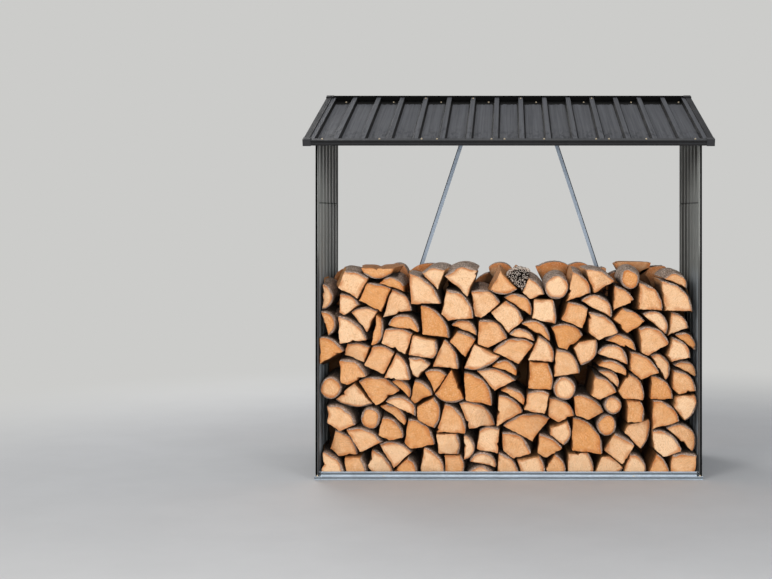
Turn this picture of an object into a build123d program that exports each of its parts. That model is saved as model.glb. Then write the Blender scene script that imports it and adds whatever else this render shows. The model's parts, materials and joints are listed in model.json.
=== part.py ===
from build123d import *
import math
import os
import random

import numpy as np

# Open-fronted log store: two ribbed side walls, a single-pitch ribbed roof with folded edge
# trims and corner caps, a base frame of folded rails, two diagonal braces across the open back,
# and a stack of split logs in two rows, one facing each open side.
# The frame: +X to the right seen from the front, +Y to the back, +Z up, origin on the ground
# under the middle of the roof. Everything is in millimetres.

# Log stack
log_length = 330
log_front = 24
log_row_gap = 24
log_setback = 22
log_setback_count = 3
log_width = 120
log_clearance = 0.3
log_layer_height = 95
stack_height = 1045
stack_seed = 8
misses_allowed = 20
air_weight = 1.6
flat_weight = 0.35
bark_up_weight = 1.3 * log_width
bark_right_weight = 0.5 * log_width
turns_tried = 24
scan_step = 2.0
tangent_step = math.radians(7)

# Walls. The depth holds the two rows of logs, with those that are set back.
wall_span = 1890
row_depth = log_length + (log_setback_count - 1) * log_setback
wall_depth = 2 * (log_front + row_depth) + log_row_gap
eaves_height = 1658
wall_rib_height = 8
wall_rib_top = 26
wall_rib_foot = 44
wall_rib_pitch = 130
wall_edge_pan = 40
wall_upper_tier = 298
wall_lap_length = 30

# Roof
roof_pitch = 16.95
side_overhang = 55
end_overhang = 60
rib_pitch = 130
rib_height = 16
rib_top = 25
rib_foot = 39
edge_pan = 60
edge_band_top = 50
edge_band_foot = 57

# Sheet and folded profiles
sheet_thickness = 1.0
bend_radius = 3.0
post_depth = 40
post_thickness = 1.0
cap_rail_depth = 25
beam_height = 26
beam_depth = 20
beam_thickness = 1.5
fold_radius = 2.0

# Roof edge trims and corner caps
trim_thickness = 1.0
trim_drop = 8
trim_groove_depth = 5
trim_groove_low = 4
trim_groove_high = 10
trim_return = 20
side_bead_width = 30
side_bead_rise = 4
side_flange = 22
upstand_rise = 8
upstand_lip = 8
cap_size = 38
cap_proud = 1.5
cap_round = 4

# Base rails
rail_thickness = 1.5
rail_height = 38
rail_lip_height = 17
rail_lip_gap = 4.5
rail_groove_depth = 2.5
rail_groove_low = 8
rail_groove_high = 12
rail_inset = 18
rail_bead_depth = 4
rail_bead_low = 7
rail_bead_high = 22
rail_bead_slope = 2.5
rail_hem_low = 32
rail_fold_radius = 1.2

# Braces
brace_width = 22
brace_leg = 14
brace_thickness = 1.5
brace_top_offset = 190
brace_foot_offset = 806
brace_end_overlap = 20
brace_end_gap = 8

seat = 0.2

# Places that follow from the sizes above
pitch_tangent = math.tan(math.radians(roof_pitch))
pitch_sine = math.sin(math.radians(roof_pitch))
pitch_cosine = math.cos(math.radians(roof_pitch))
half_span = wall_span / 2
half_depth = wall_depth / 2
roof_half_width = half_span + side_overhang
slope_half = (half_depth + end_overhang) / pitch_cosine

lap_rise = sheet_thickness + seat
rib_top_surface = rib_height + sheet_thickness
flange_level = rib_top_surface + lap_rise + seat
front_cap_top = flange_level + trim_thickness + side_bead_rise + cap_proud
rear_cap_top = flange_level + trim_thickness + upstand_rise + cap_proud
cap_bottom = -trim_drop - cap_proud

wall_flank_run = (wall_rib_foot - wall_rib_top) / 2
wall_flank_cosine = wall_flank_run / math.hypot(wall_flank_run, wall_rib_height)
wall_lap_shift = lap_rise / wall_flank_cosine
wall_lap_height = eaves_height - wall_upper_tier
wall_zone = wall_rib_height + sheet_thickness + wall_lap_shift
wall_inner_face = half_span - wall_zone
post_outer_face = half_span + seat + post_thickness
post_inner_face = wall_inner_face - seat - post_thickness
post_front = half_depth + seat + post_thickness
post_back = post_front - post_depth
rail_inner_face = half_depth - rail_inset - rail_thickness / 2


def roof_underside(y):
    """Height of the underside of the roof sheet's pans."""
    return eaves_height + (y + half_depth) * pitch_tangent


# The caps stand square to the slope, so the roof is moved a little to keep the outline centred.
roof_shift = (front_cap_top + cap_bottom) / 2 * pitch_sine
roof_plane = Plane(
    origin=(0, roof_shift, roof_underside(roof_shift)),
    x_dir=(1, 0, 0),
    z_dir=(0, -pitch_sine, pitch_cosine),
)
# Section across the slope, drawn in (x, height), and section along it, in (up the slope, height).
across = Plane(origin=roof_plane.origin, x_dir=roof_plane.x_dir, z_dir=-roof_plane.y_dir)
along = Plane(origin=roof_plane.origin, x_dir=roof_plane.y_dir, z_dir=roof_plane.x_dir)


def save(piece, name):
    """Labels a finished piece and writes it."""
    piece.part.label = name
    export_step(piece.part, f"parts/{name}.step")


def folded(points, radius, thickness):
    """A folded sheet's section, drawn inside a sketch from the line of its middle."""
    with BuildLine() as middle:
        FilletPolyline(*points, radius=radius)
    trace(middle.line, line_width=thickness)


# Base frame

def rail_line(face, side):
    """Middle line of a base rail, from its outer lip to its hem; face is the wall's outer face."""
    half = rail_thickness / 2
    lip = face + rail_lip_gap + half
    groove = lip - rail_groove_depth
    stand = face - rail_inset
    bead = stand + rail_bead_depth
    return [
        (side * lip, rail_lip_height),
        (side * lip, rail_groove_high + rail_bead_slope),
        (side * groove, rail_groove_high),
        (side * groove, rail_groove_low),
        (side * lip, rail_groove_low - rail_bead_slope),
        (side * lip, half),
        (side * stand, half),
        (side * stand, rail_bead_low - rail_bead_slope),
        (side * bead, rail_bead_low),
        (side * bead, rail_bead_high),
        (side * stand, rail_bead_high + rail_bead_slope),
        (side * stand, rail_hem_low - rail_bead_slope),
        (side * bead, rail_hem_low),
        (side * bead, rail_height - half),
        (side * stand, rail_height - half),
    ]


def end_rail(side):
    """Front or rear rail: its lip and floor run full width, its upstand stops short of the posts."""
    half_length = half_span + rail_lip_gap + rail_thickness
    upstand_end = half_span - rail_inset - rail_bead_depth
    notch = half_length - upstand_end
    with BuildPart() as rail:
        with BuildSketch(Plane.YZ):
            folded(rail_line(half_depth, side), rail_fold_radius, rail_thickness)
        extrude(amount=half_length, both=True)
        with BuildSketch(Plane.XY.offset(rail_thickness)):
            for end in (-1, 1):
                with Locations((end * (upstand_end + notch / 2), side * (half_depth - rail_inset))):
                    Rectangle(notch, 3 * rail_bead_depth)
        extrude(amount=rail_height, mode=Mode.SUBTRACT)
    return rail


def side_rail(side):
    """Left or right rail, between the end rails."""
    with BuildPart() as rail:
        with BuildSketch(Plane.XZ):
            folded(rail_line(half_span, side), rail_fold_radius, rail_thickness)
        extrude(amount=rail_inner_face - seat, both=True)
    return rail


# Side walls

def wall_panel(side, lower):
    """Ribbed wall sheet of one tier. The upper tier laps outside the lower one."""
    shift = 0 if lower else wall_lap_shift
    pan = wall_inner_face + sheet_thickness / 2 + shift
    crest = pan + wall_rib_height
    half_run = post_front - post_thickness - fold_radius
    rib_count = int((2 * half_run - wall_rib_foot - 2 * wall_edge_pan) / wall_rib_pitch) + 1
    line = [(side * pan, -half_run)]
    for i in range(rib_count):
        middle = (i - (rib_count - 1) / 2) * wall_rib_pitch
        line += [
            (side * pan, middle - wall_rib_foot / 2),
            (side * crest, middle - wall_rib_top / 2),
            (side * crest, middle + wall_rib_top / 2),
            (side * pan, middle + wall_rib_foot / 2),
        ]
    line.append((side * pan, half_run))
    bottom = rail_thickness + seat if lower else wall_lap_height - wall_lap_length
    with BuildPart() as panel:
        with BuildSketch(Plane.XY.offset(bottom)):
            folded(line, bend_radius, sheet_thickness)
        if lower:
            extrude(amount=wall_lap_height - bottom)
        else:
            extrude(amount=roof_underside(half_depth) - bottom)
            split(bisect_by=roof_plane.offset(-seat - post_thickness - fold_radius), keep=Keep.BOTTOM)
    return panel


def wall_post(side, end):
    """Upright channel that holds the wall sheets' front or rear edge, cut to the roof's slope."""
    half = post_thickness / 2
    outer, inner = side * (post_outer_face - half), side * (post_inner_face + half)
    front, back = end * (post_front - half), end * post_back
    with BuildPart() as post:
        with BuildSketch(Plane.XY.offset(rail_thickness + seat)):
            folded([(outer, back), (outer, front), (inner, front), (inner, back)], fold_radius, post_thickness)
        extrude(amount=roof_underside(half_depth))
        split(bisect_by=roof_plane.offset(-seat), keep=Keep.BOTTOM)
    return post


def wall_top_rail(side):
    """Sloping channel that caps the wall sheets between the posts, under the roof sheet."""
    half = post_thickness / 2
    outer, inner = side * (post_outer_face - half), side * (post_inner_face + half)
    top = -seat - half
    with BuildPart() as rail:
        with BuildSketch(across):
            folded([(outer, -cap_rail_depth), (outer, top), (inner, top), (inner, -cap_rail_depth)],
                   fold_radius, post_thickness)
        extrude(amount=slope_half, both=True)
        for end in (-1, 1):
            split(bisect_by=Plane.XZ.offset(end * (post_back - seat)), keep=Keep.BOTTOM if end > 0 else Keep.TOP)
    return rail


def roof_beam(end):
    """Folded beam under the roof sheet, between the posts, open to the outside."""
    half = beam_thickness / 2
    web = rail_inner_face + half
    flange = web + beam_depth
    top = -seat - half / pitch_cosine
    bottom = roof_underside(end * web) - beam_height
    with BuildPart() as beam:
        with BuildSketch(Plane.YZ):
            folded(
                [
                    (end * flange, bottom),
                    (end * web, bottom),
                    (end * web, roof_underside(end * web) + top),
                    (end * flange, roof_underside(end * flange) + top),
                ],
                fold_radius,
                beam_thickness,
            )
        extrude(amount=post_inner_face - seat, both=True)
    return beam


# Roof sheets

roof_rib_count = int((2 * (roof_half_width - edge_band_foot - edge_pan) - rib_foot) / rib_pitch) + 1
rib_x = [(i - (roof_rib_count - 1) / 2) * rib_pitch for i in range(roof_rib_count)]
first_lap = roof_rib_count // 3
second_lap = roof_rib_count - 1 - first_lap
sheet_front = -slope_half + trim_groove_depth + trim_thickness + seat
sheet_rear = slope_half - trim_thickness - seat
sheet_edge = roof_half_width - trim_thickness - seat - trim_groove_depth


def edge_band(side):
    """Raised band along the roof's outer edge, listed from the edge inwards."""
    crest = rib_height + sheet_thickness / 2
    return [
        (side * sheet_edge, crest),
        (side * (roof_half_width - edge_band_top), crest),
        (side * (roof_half_width - edge_band_foot), sheet_thickness / 2),
    ]


def roof_sheet(left, right):
    """Ribbed roof sheet from lap rib left to lap rib right; None stands for the roof's edge.
    Each sheet's first rib lies over the last rib of the sheet to its left."""
    pan = sheet_thickness / 2
    crest = pan + rib_height
    line = edge_band(-1)
    if left is not None:
        line = [
            (rib_x[left] - rib_top / 2, crest + lap_rise),
            (rib_x[left] + rib_top / 2, crest + lap_rise),
            (rib_x[left] + rib_foot / 2, pan),
        ]
    inner = rib_x[0 if left is None else left + 1:len(rib_x) if right is None else right]
    for middle in inner:
        line += [
            (middle - rib_foot / 2, pan),
            (middle - rib_top / 2, crest),
            (middle + rib_top / 2, crest),
            (middle + rib_foot / 2, pan),
        ]
    if right is None:
        line += reversed(edge_band(1))
    else:
        line += [
            (rib_x[right] - rib_foot / 2, pan),
            (rib_x[right] - rib_top / 2, crest),
            (rib_x[right] + rib_top / 2 - bend_radius, crest),
        ]
    notch = cap_size + seat
    with BuildPart() as sheet:
        with BuildSketch(across.offset(-sheet_rear)):
            folded(line, bend_radius, sheet_thickness)
        extrude(amount=sheet_rear - sheet_front)
        with BuildSketch(roof_plane.offset(cap_bottom)):
            for side in (-1, 1):
                for end in (-1, 1):
                    with Locations((side * (roof_half_width - notch / 2), end * (slope_half - notch / 2))):
                        Rectangle(notch, notch)
        extrude(amount=rear_cap_top - cap_bottom, mode=Mode.SUBTRACT)
    return sheet


# Roof edge trims

def fascia_line(top):
    """Lower part of every edge trim: return, face and groove, as (inward, height) up to top."""
    half = trim_thickness / 2
    face = half
    groove = half + trim_groove_depth
    return [
        (trim_return, half - trim_drop),
        (face, half - trim_drop),
        (face, trim_groove_low - trim_groove_depth / 2),
        (groove, trim_groove_low),
        (groove, trim_groove_high),
        (face, trim_groove_high + trim_groove_depth / 2),
        (face, top),
    ]


def front_trim():
    level = flange_level + trim_thickness / 2
    line = fascia_line(level) + [(cap_size, level)]
    with BuildPart() as trim:
        with BuildSketch(along):
            folded([(u - slope_half, z) for u, z in line], fold_radius, trim_thickness)
        extrude(amount=roof_half_width - cap_size - seat, both=True)
    return trim


def rear_trim():
    """Closes the high end: a plain web that stands above the ribs, with a small lip forward."""
    half = trim_thickness / 2
    crest = flange_level + upstand_rise + half
    line = [(trim_return, half - trim_drop), (half, half - trim_drop), (half, crest), (upstand_lip, crest)]
    with BuildPart() as trim:
        with BuildSketch(along):
            folded([(slope_half - u, z) for u, z in line], fold_radius, trim_thickness)
        extrude(amount=roof_half_width - cap_size - seat, both=True)
    return trim


def side_trim(side):
    level = flange_level + trim_thickness / 2
    bead = level + side_bead_rise
    line = fascia_line(bead) + [
        (side_bead_width, bead),
        (side_bead_width, level),
        (side_bead_width + side_flange, level),
    ]
    with BuildPart() as trim:
        with BuildSketch(across):
            folded([(side * (roof_half_width - u), z) for u, z in line], fold_radius * 0.75, trim_thickness)
        extrude(amount=slope_half - cap_size - seat, both=True)
    return trim


def corner_cap(side, end):
    """Moulded cap over a corner of the trims, rounded on its outer edges."""
    top = front_cap_top if end < 0 else rear_cap_top
    width = cap_size + cap_proud
    middle_x = side * (roof_half_width + cap_proud - width / 2)
    middle_y = end * (slope_half + cap_proud - width / 2)
    with BuildPart() as cap:
        with BuildSketch(roof_plane.offset(cap_bottom)):
            with Locations((middle_x, middle_y)):
                Rectangle(width, width)
        extrude(amount=top - cap_bottom)
        upright = cap.edges().filter_by(lambda edge: abs(edge.tangent_at(0).dot(roof_plane.z_dir)) > 0.99)
        outer = upright.sort_by(lambda edge: side * edge.center().X + end * edge.center().Y)[-1]
        fillet(outer, radius=cap_round)
        upper = cap.faces().sort_by(lambda face: roof_plane.to_local_coords(face.center()).Z)[-1]
        fillet(upper.edges(), radius=cap_round / 2)
    return cap


# Braces

def brace(side):
    """Folded angle across the open back, its flat side on the inner faces of the rear rail and
    the rear beam. Its outer leg stops short of both, so that only the flat side runs over them."""
    half = brace_thickness / 2
    edge = brace_width / 2
    bend_start = edge - half - fold_radius
    face = rail_inner_face - seat
    foot = Vector(side * brace_foot_offset, face, rail_height - brace_end_overlap)
    head = Vector(side * brace_top_offset, face, roof_underside(face) - brace_end_gap)
    length = (head - foot).length
    run = (head - foot).normalized()
    start = Plane(origin=foot, x_dir=(run.Z, 0, -run.X), z_dir=run)
    foot_notch = (brace_end_overlap + brace_end_gap) / run.Z
    head_notch = beam_height / run.Z
    with BuildPart() as angle:
        with BuildSketch(start):
            with Locations((side * (bend_start - edge) / 2, -half)):
                Rectangle(bend_start + edge, brace_thickness)
        extrude(amount=length)
        with BuildSketch(start.offset(foot_notch)):
            folded(
                [(side * (edge - half), brace_leg), (side * (edge - half), -half), (-side * edge, -half)],
                fold_radius,
                brace_thickness,
            )
        extrude(amount=length - foot_notch - head_notch)
    return angle


# Log stack

def log_quarter(rng):
    """Wedge from the heart of the trunk to its bark. Corners are (x, z, bulge of the next edge)."""
    reach = log_width * rng.uniform(0.98, 1.38)
    half_spread = math.radians(rng.uniform(29, 52))
    near, far = reach, reach * rng.uniform(0.86, 1.0)
    a = (near * math.cos(half_spread), near * math.sin(half_spread))
    b = (far * math.cos(half_spread), -far * math.sin(half_spread))
    return [(0, 0, 0), (*b, math.dist(a, b) * rng.uniform(0.14, 0.24)), (*a, 0)]


def log_trimmed(rng):
    """Wedge whose heart was split off, so it has four sides."""
    reach = log_width * rng.uniform(1.05, 1.40)
    half_spread = math.radians(rng.uniform(24, 38))
    cut, skew = rng.uniform(0.22, 0.42), rng.uniform(0.7, 1.2)
    x, z = reach * math.cos(half_spread), reach * math.sin(half_spread)
    bulge = 2 * z * rng.uniform(0.14, 0.24)
    return [(x * cut * skew, z * cut, 0), (x * cut, -z * cut, 0), (x, -z, bulge), (x, z, 0)]


def log_half(rng):
    """Half of a thin trunk."""
    chord = log_width * rng.uniform(1.05, 1.55)
    return [(0, 0, 0), (chord, 0, chord * rng.uniform(0.34, 0.48))]


def log_block(rng):
    """Piece with four split sides, the top one with bark."""
    width, height = log_width * rng.uniform(0.78, 1.18), log_width * rng.uniform(0.70, 1.05)
    slip = [log_width * rng.uniform(-0.075, 0.075) for _ in range(5)]
    return [
        (0, 0, 0),
        (width + slip[0], slip[1], 0),
        (width + slip[2], height + slip[3], log_width * rng.uniform(0.07, 0.16)),
        (slip[4], height * rng.uniform(0.7, 1.0), 0),
    ]


def log_slab(rng):
    """Low outer slab with a wide bark side."""
    chord, rise = log_width * rng.uniform(1.10, 1.50), log_width * 0.24
    bulge = log_width * rng.uniform(0.16, 0.26)
    return [(0, 0, 0), (chord, 0, 0), (chord * 0.93, rise, bulge), (chord * 0.1, rise, 0)]


def log_branch(rng):
    """Thin trunk that was left whole."""
    width = log_width * rng.uniform(0.78, 1.08)
    return [(0, 0, width * rng.uniform(0.36, 0.42)), (width, 0, width * rng.uniform(0.50, 0.56))]


log_kinds = (
    [log_quarter] * 9 + [log_trimmed] * 5 + [log_block] * 4 + [log_half] * 4 + [log_slab, log_branch, log_branch]
)


def edges_of(corners):
    """(start, end, bulge) of each edge of a closed outline."""
    return [
        ((x, z), corners[(i + 1) % len(corners)][:2], bulge)
        for i, (x, z, bulge) in enumerate(corners)
    ]


def arc_middle(start, end, bulge):
    """Point halfway along an arc that bulges to the right of its run from start to end."""
    chord = math.dist(start, end)
    across_x, across_z = (end[1] - start[1]) / chord, (start[0] - end[0]) / chord
    return (start[0] + end[0]) / 2 + across_x * bulge, (start[1] + end[1]) / 2 + across_z * bulge


def hull_points(corners):
    """Polygon around the outline, with each arc boxed in by tangents so that it never cuts inside."""
    points = []
    for start, end, bulge in edges_of(corners):
        points.append(start)
        if not bulge:
            continue
        half_chord = math.dist(start, end) / 2
        radius = (half_chord**2 + bulge**2) / (2 * bulge)
        crown = arc_middle(start, end, bulge)
        toward = ((end[1] - start[1]) / half_chord / 2, (start[0] - end[0]) / half_chord / 2)
        centre = (crown[0] - toward[0] * radius, crown[1] - toward[1] * radius)
        first = math.atan2(start[1] - centre[1], start[0] - centre[0])
        sweep = 2 * math.asin(min(1, half_chord / radius))
        if bulge > radius:
            sweep = 2 * math.pi - sweep
        steps = math.ceil(sweep / tangent_step)
        tangent_radius = radius / math.cos(sweep / steps / 2)
        for k in range(steps):
            angle = first + sweep * (k + 0.5) / steps
            points.append((centre[0] + tangent_radius * math.cos(angle), centre[1] + tangent_radius * math.sin(angle)))
    return points


def turned(corners, angle):
    c, s = math.cos(angle), math.sin(angle)
    return [(x * c - z * s, x * s + z * c, bulge) for x, z, bulge in corners]


def moved(corners, dx, dz):
    return [(x + dx, z + dz, bulge) for x, z, bulge in corners]


def crossings(points, x):
    """Heights at which a polygon's edges stand at x."""
    found = []
    for (ax, az), (bx, bz) in zip(points, points[1:] + points[:1]):
        if min(ax, bx) <= x <= max(ax, bx):
            share = (x - ax) / (bx - ax) if ax != bx else 0
            found += [az + share * (bz - az), bz if ax == bx else az + share * (bz - az)]
    return found


def scanned(points):
    """Lowest and highest points of a polygon every scan_step from its left end."""
    left, right = min(x for x, z in points), max(x for x, z in points)
    count = math.ceil((right - left) / scan_step) + 1
    grid = np.minimum(left + np.arange(count) * scan_step, right)
    low, high = np.full(count, np.inf), np.full(count, -np.inf)
    for (ax, az), (bx, bz) in zip(points, points[1:] + points[:1]):
        inside = (grid >= min(ax, bx)) & (grid <= max(ax, bx))
        run = bx - ax if ax != bx else 1
        heights = az + (grid[inside] - ax) / run * (bz - az)
        low[inside] = np.minimum(low[inside], heights)
        high[inside] = np.maximum(high[inside], heights)
    return left, low, high


def settle(points, placed):
    """How far a polygon is raised to rest log_clearance above what lies under it."""
    left, right = min(x for x, z in points), max(x for x, z in points)
    rise = -math.inf
    for other in placed:
        low_x, high_x = max(left, min(x for x, z in other)), min(right, max(x for x, z in other))
        if low_x > high_x:
            continue
        stations = {low_x, high_x} | {x for x, z in points + other if low_x <= x <= high_x}
        for x in stations:
            rise = max(rise, max(crossings(other, x)) - min(crossings(points, x)))
    return rise + log_clearance


def bark_side(corners):
    """Direction from the outline's middle to its bark, or none where the bark goes all round."""
    crowns = [arc_middle(*edge) for edge in edges_of(corners) if edge[2]]
    if len(crowns) != 1:
        return 0, 0
    x = crowns[0][0] - sum(corner[0] for corner in corners) / len(corners)
    z = crowns[0][1] - sum(corner[1] for corner in corners) / len(corners)
    return x / math.hypot(x, z), z / math.hypot(x, z)


def stack_logs():
    """Fills the space between the walls: each log in turn is tried at every turn and place, and lies
    where it ends up low and flat, with little air under it and its bark up or to the right."""
    rng = random.Random(stack_seed)
    reach = post_inner_face - 2 * log_clearance
    hem = half_span - rail_inset - rail_thickness / 2 - log_clearance
    under = -2 * log_clearance
    ground = [(-reach, under), (reach, under), (reach, -log_clearance), (-reach, -log_clearance)]
    hems = [
        [(side * hem, 0), (side * reach, 0), (side * reach, rail_height), (side * hem, rail_height)]
        for side in (-1, 1)
    ]
    columns = int(2 * reach / scan_step) + 1
    sky = np.zeros(columns)
    hem_columns = math.ceil((reach - hem) / scan_step) + 1
    sky[:hem_columns] = sky[-hem_columns:] = rail_height
    placed, logs = [ground] + hems, []
    deep_gap = log_width * 0.4
    misses = 0
    while misses < misses_allowed:
        shape = rng.choice(log_kinds)(rng)
        start = rng.uniform(0, 2 * math.pi)
        care = rng.uniform(0, 2)
        best = None
        for turn in range(turns_tried):
            corners = turned(shape, start + 2 * math.pi * turn / turns_tried)
            left, low, high = scanned(hull_points(corners))
            below = np.lib.stride_tricks.sliding_window_view(sky, len(low))
            rest = (below - low).max(axis=1)
            air = np.minimum(rest[:, None] + low - below, deep_gap).sum(axis=1) * scan_step
            area = (high - low).sum() * scan_step
            right, up = bark_side(corners)
            score = rest + 0.6 * (low + high).mean() + 0.4 * high.max() + air_weight * air / math.sqrt(area)
            score += flat_weight * (high.max() - low.min())
            score -= care * (bark_up_weight * up + bark_right_weight * right)
            score[rest + high.max() > stack_height] = np.inf
            column = int(score.argmin())
            if score[column] < np.inf and (best is None or score[column] < best[0]):
                best = (score[column], column, corners, left, high)
        if best is None:
            misses += 1
            continue
        score, column, corners, left, high = best
        corners = moved(corners, column * scan_step - reach - left, 0)
        rise = settle(hull_points(corners), placed)
        corners = moved(corners, 0, rise)
        placed.append(hull_points(corners))
        window = slice(column, column + len(high))
        sky[window] = np.maximum(sky[window], high + rise)
        logs.append(corners)
    return logs


def log_layer(logs):
    """One layer of logs: the front row, and the same row turned about to face the back."""
    with BuildPart() as layer:
        for n in range(log_setback_count):
            with BuildSketch(Plane.XZ.offset(half_depth - log_front - n * log_setback)):
                for corners in logs[n::log_setback_count]:
                    with BuildLine():
                        for start, end, bulge in edges_of(corners):
                            if bulge:
                                ThreePointArc(start, arc_middle(start, end, bulge), end)
                            else:
                                Line(start, end)
                    make_face()
            extrude(amount=-log_length)
        add(layer.part.rotate(Axis.Z, 180))
    return layer


def main():
    os.makedirs("parts", exist_ok=True)
    save(end_rail(-1), "base_rail_front")
    save(end_rail(1), "base_rail_rear")
    save(rear_trim(), "roof_trim_rear")
    save(front_trim(), "roof_trim_front")
    save(roof_beam(-1), "roof_beam_front")
    save(roof_beam(1), "roof_beam_rear")
    for side, hand in ((-1, "left"), (1, "right")):
        save(side_rail(side), f"base_rail_{hand}")
        save(wall_panel(side, True), f"wall_panel_lower_{hand}")
        save(wall_panel(side, False), f"wall_panel_upper_{hand}")
        save(wall_top_rail(side), f"wall_top_rail_{hand}")
        save(side_trim(side), f"roof_trim_{hand}")
        save(brace(side), f"brace_{hand}")
        for end, place in ((-1, "front"), (1, "rear")):
            save(wall_post(side, end), f"post_{place}_{hand}")
            save(corner_cap(side, end), f"roof_cap_{place}_{hand}")
    save(roof_sheet(None, first_lap), "roof_sheet_left")
    save(roof_sheet(first_lap, second_lap), "roof_sheet_middle")
    save(roof_sheet(second_lap, None), "roof_sheet_right")

    logs = stack_logs()
    layers = [[] for _ in range(math.ceil(stack_height / log_layer_height))]
    for corners in logs:
        outline = hull_points(corners)
        middle = sum(z for x, z in outline) / len(outline)
        layers[min(len(layers) - 1, int(middle / log_layer_height))].append(corners)
    for number, layer in enumerate(layers, 1):
        save(log_layer(layer), f"log_layer_{number:02d}")
    print("logs in a row", len(logs), "by layer", [len(layer) for layer in layers])


main()
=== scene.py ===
import json
import math
import random

import bmesh
import bpy
import numpy as np
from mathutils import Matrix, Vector


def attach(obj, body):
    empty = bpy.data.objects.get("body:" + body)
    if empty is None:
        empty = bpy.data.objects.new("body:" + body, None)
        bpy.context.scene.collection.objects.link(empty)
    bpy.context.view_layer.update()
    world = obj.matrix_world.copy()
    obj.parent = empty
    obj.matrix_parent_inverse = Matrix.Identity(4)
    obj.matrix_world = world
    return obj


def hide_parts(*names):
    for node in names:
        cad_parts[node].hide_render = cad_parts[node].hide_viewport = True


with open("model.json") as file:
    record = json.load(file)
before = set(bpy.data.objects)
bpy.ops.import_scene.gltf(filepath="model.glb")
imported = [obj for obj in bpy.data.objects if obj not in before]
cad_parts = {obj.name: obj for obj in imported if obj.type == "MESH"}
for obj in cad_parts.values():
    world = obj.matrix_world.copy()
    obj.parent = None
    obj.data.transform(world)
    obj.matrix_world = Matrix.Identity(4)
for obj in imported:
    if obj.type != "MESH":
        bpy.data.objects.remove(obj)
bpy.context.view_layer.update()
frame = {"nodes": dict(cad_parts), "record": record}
nodes = frame["nodes"]
scene = bpy.context.scene

# Places on the solids that the dressing follows. All lengths are in metres.
PITCH = math.radians(16.95)     # the roof's fall
EAVES = 1.658                   # height of the roof's pans at PAN_START
PAN_START = -0.41
RIB_PITCH = 0.13
SHADOW_BAND_START = 0.367              # y where the black band of painted shadow at the roof's rear begins
WALL_LAP = 1.357                # height of the lap between the two tiers of wall sheet
LIT_FOOT = 1.06                 # heights between which the walls and posts are painted paler in front, as painted light
LIT_HEAD = 1.62
POST_FOLD = 0.9360              # where the posts' outer fold begins, from the middle
TRIM_BEAD = 0.9690              # where the bead of the roof's end trims begins
SIDE_REACH = 0.9325             # how far the logs may swell towards the walls
BRACE_FOOT = (0.806, 0.0165)    # x and z of the right brace's foot
BRACE_RUN = (0.3110, 0.9504)    # its way towards the middle and up
BRACE_FOLD = 0.0052             # where its outer fold begins, from its middle line
RAIL_LIGHT_BANDS = (                  # bottom, top and brightness of painted shadow lines and a painted highlight along the base rails
    (0.0058, 0.0125, 0.34),
    (0.0225, 0.0300, 0.45),
    (0.0140, 0.0215, 1.45),
)


# Materials

def linear(*screen):
    """Linear colour from 8-bit screen values."""
    return tuple(((c / 255 + 0.055) / 1.055) ** 2.4 if c > 10 else c / 255 / 12.92 for c in screen) + (1.0,)


PAN_GREY = linear(98, 99, 103)
SHEET_GREY = linear(112, 113, 110)
BACKDROP = linear(204, 204, 202)


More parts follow.
